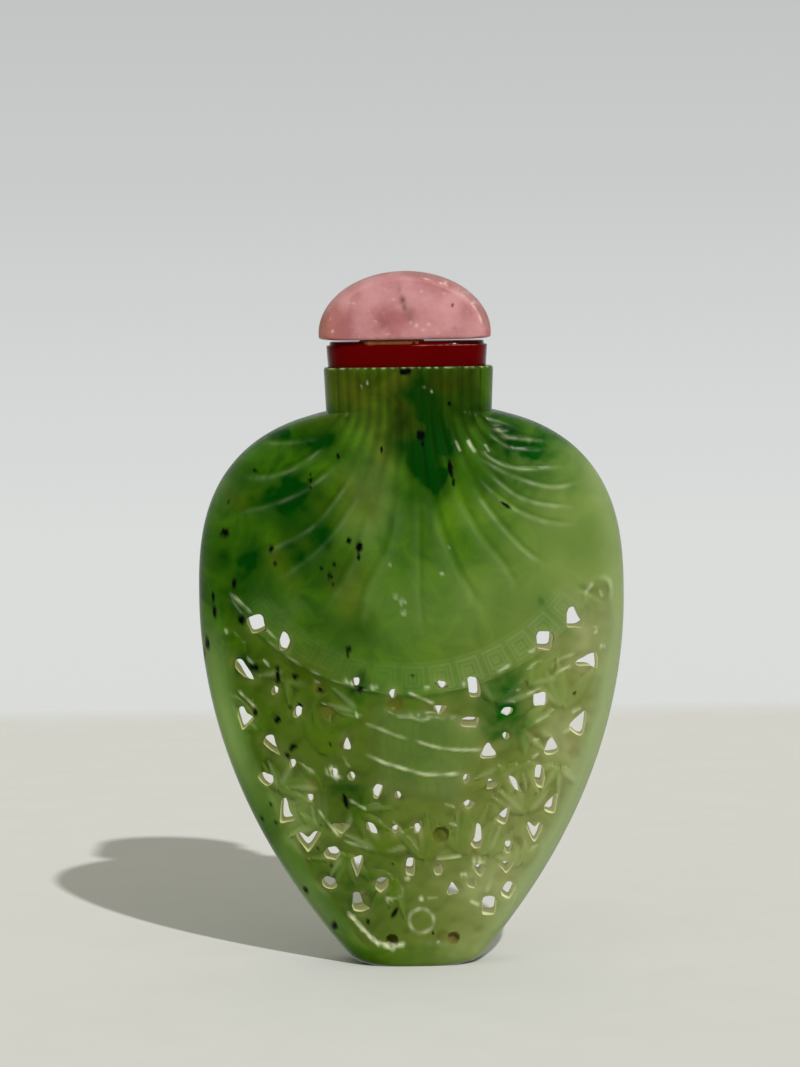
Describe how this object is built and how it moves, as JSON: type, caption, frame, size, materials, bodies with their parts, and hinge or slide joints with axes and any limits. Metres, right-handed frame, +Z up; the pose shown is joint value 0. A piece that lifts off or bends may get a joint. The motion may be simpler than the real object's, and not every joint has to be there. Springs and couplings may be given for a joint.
{
  "type": "carved stone bottle",
  "caption": "Small flattened carved jade bottle with a fluted neck, key-fret band and pierced floral openwork, closed by a loose quartz stopper.",
  "frame": {"origin": "middle of the flat foot, on the surface that the bottle stands on", "axes": "+Z up along the bottle's height, +Y from the carved front to the plainer back, so the front faces -Y"},
  "size_m": [0.046, 0.0126, 0.075],
  "materials": {
    "jade": "waxy polish, translucent green with darker specks",
    "red_glass": "polished deep red glass, opaque",
    "cement": "dull amber-brown cement",
    "rose_quartz": "polished, milky pink"
  },
  "bodies": {
    "root": {"bottle": "jade", "stopper_collar": "red_glass", "stopper_cement": "cement", "stopper_cap": "rose_quartz"}
  },
  "joints": []
}
